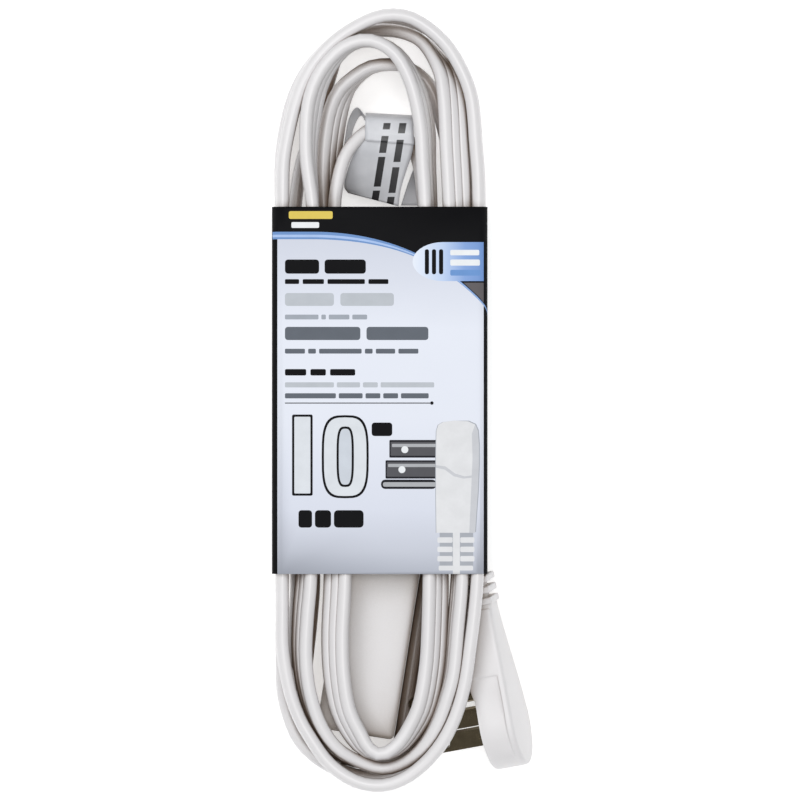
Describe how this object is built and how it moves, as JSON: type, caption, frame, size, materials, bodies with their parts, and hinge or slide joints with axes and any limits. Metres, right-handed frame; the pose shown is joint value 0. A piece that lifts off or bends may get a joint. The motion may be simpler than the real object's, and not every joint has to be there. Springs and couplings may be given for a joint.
{
  "type": "extension cord",
  "caption": "Flat three-core extension cord with a low flat plug and a row of outlets, folded into a hank held by a card sleeve.",
  "frame": {"origin": "under the middle of the whole part, on the surface it lies on", "axes": "+Y along the hank towards its plain looped end, +Z out of the printed face of the sleeve, +X towards the plug's side"},
  "size_m": [0.0818, 0.244, 0.034],
  "materials": {
    "pvc": "semi-gloss warm white PVC",
    "rigid": "matt off-white rigid moulding",
    "plated": "nickel-plated brass with darker reflections",
    "brass": "plain stamped brass",
    "black_core": "black core insulation",
    "white_core": "white core insulation",
    "green_core": "green core insulation",
    "tag": "silver-grey vinyl",
    "card": "printed, coated card"
  },
  "bodies": {
    "hank": {"plug_body": "pvc", "plug_bridge": "rigid", "line_blade": "plated", "neutral_blade": "plated", "ground_pin": "plated", "plug_line_wire": "black_core", "plug_neutral_wire": "white_core", "plug_ground_wire": "green_core", "outlet_body": "pvc", "outlet_face": "rigid", "contact_carrier": "rigid", "line_bus": "brass", "neutral_bus": "brass", "ground_bus": "brass", "outlet_line_wire": "black_core", "outlet_neutral_wire": "white_core", "outlet_ground_wire": "green_core", "cord_hank": "pvc", "plug_lead": "pvc", "outlet_lead": "pvc", "cord_tag": "tag"},
    "sleeve": {"card_sleeve": "card"}
  },
  "joints": [
    {"name": "sleeve_slide", "type": "slide", "parent": "hank", "child": "sleeve", "axis": [0, 1, 0], "range_m": [0, 0.18]}
  ]
}
